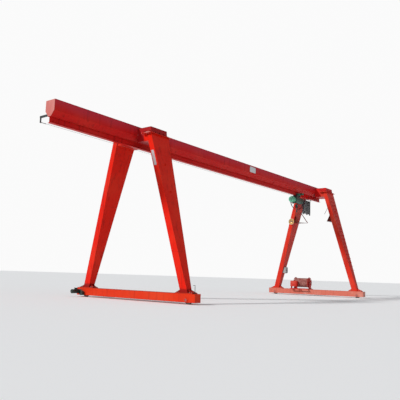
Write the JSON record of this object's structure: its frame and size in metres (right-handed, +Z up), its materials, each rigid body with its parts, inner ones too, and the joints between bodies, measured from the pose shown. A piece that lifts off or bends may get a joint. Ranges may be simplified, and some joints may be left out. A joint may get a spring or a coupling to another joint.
{
  "type": "gantry crane",
  "caption": "Box girder gantry crane on leaning A-frame legs and ground beams with wheels, with a rope hoist on a runway beam.",
  "frame": {"origin": "under the middle of the girder's length, on its centre plane, where the wheel flanges touch the ground", "axes": "+X along the girder from the long cantilever to the short one, +Y to the left side, +Z up"},
  "size_m": [29.72, 8.95, 9.577],
  "materials": {
    "red_paint": "weathered red enamel",
    "teal_paint": "dark green enamel",
    "dark_paint": "dark grey enamel",
    "grey_paint": "light grey enamel",
    "yellow_paint": "yellow enamel",
    "zinc_steel": "dull zinc coated steel",
    "wheel_steel": "worn machined steel",
    "rope_steel": "greased steel rope",
    "cable_rubber": "matt black cable sheath"
  },
  "bodies": {
    "crane_frame": {"climb_rungs": "red_paint", "control_cabinet": "grey_paint", "festoon_arms": "red_paint", "festoon_carriers": "dark_paint", "festoon_lead": "cable_rubber", "festoon_loops": "cable_rubber", "festoon_wire": "rope_steel", "girder_box": "red_paint", "girder_end_plate_far": "red_paint", "girder_end_plate_near": "red_paint", "ground_beam_far": "red_paint", "ground_beam_near": "red_paint", "leg_bracket_far_left": "red_paint", "leg_bracket_far_right": "red_paint", "leg_far_left": "red_paint", "leg_far_right": "red_paint", "leg_lamp": "yellow_paint", "leg_near_left": "red_paint", "leg_near_right": "red_paint", "reel_box": "red_paint", "reel_stand": "red_paint", "runway_beam": "red_paint", "runway_stop_far": "red_paint", "runway_stop_near": "red_paint", "saddle_far_left": "red_paint", "saddle_far_right": "red_paint", "saddle_near_left": "red_paint", "saddle_near_right": "red_paint", "storm_pin": "zinc_steel", "travel_drive_far": "dark_paint", "travel_drive_near": "dark_paint"},
    "hoist_trolley": {"trolley_frame": "dark_paint", "trolley_motor": "dark_paint", "hoist_case": "teal_paint", "hoist_drum": "wheel_steel", "hoist_motor": "teal_paint", "hoist_gearbox": "teal_paint", "hoist_control_box": "grey_paint", "tow_arm": "dark_paint", "hoist_ropes": "rope_steel", "trolley_wheel_1": "wheel_steel", "trolley_wheel_2": "wheel_steel", "trolley_wheel_3": "wheel_steel", "trolley_wheel_4": "wheel_steel"},
    "hook_unit": {"hook_block": "dark_paint", "hook": "wheel_steel"},
    "cable_reel": {"reel_drum": "red_paint", "reel_cable": "cable_rubber"},
    "wheel_near_left": {"travel_wheel_near_left": "wheel_steel"},
    "wheel_near_right": {"travel_wheel_near_right": "wheel_steel"},
    "wheel_far_left": {"travel_wheel_far_left": "wheel_steel"},
    "wheel_far_right": {"travel_wheel_far_right": "wheel_steel"}
  },
  "joints": [
    {"name": "trolley_travel", "type": "slide", "parent": "crane_frame", "child": "hoist_trolley", "axis": [1, 0, 0], "range_m": [-24.65, 1.7]},
    {"name": "hook_lift", "type": "slide", "parent": "hoist_trolley", "child": "hook_unit", "axis": [0, 0, 1], "range_m": [-6.9, 0], "deforming": ["hoist_ropes"]},
    {"name": "reel_spin", "type": "hinge", "parent": "crane_frame", "child": "cable_reel", "pos_m": [14, 1.23, 1.105], "axis": [0, 1, 0], "continuous": true},
    {"name": "wheel_spin_near_left", "type": "hinge", "parent": "crane_frame", "child": "wheel_near_left", "pos_m": [-8.62, 3.9, 0.22], "axis": [1, 0, 0], "continuous": true},
    {"name": "wheel_spin_near_right", "type": "hinge", "parent": "crane_frame", "child": "wheel_near_right", "pos_m": [-8.62, -3.9, 0.22], "axis": [1, 0, 0], "continuous": true},
    {"name": "wheel_spin_far_left", "type": "hinge", "parent": "crane_frame", "child": "wheel_far_left", "pos_m": [13.88, 3.9, 0.22], "axis": [1, 0, 0], "continuous": true},
    {"name": "wheel_spin_far_right", "type": "hinge", "parent": "crane_frame", "child": "wheel_far_right", "pos_m": [13.88, -3.9, 0.22], "axis": [1, 0, 0], "continuous": true}
  ]
}
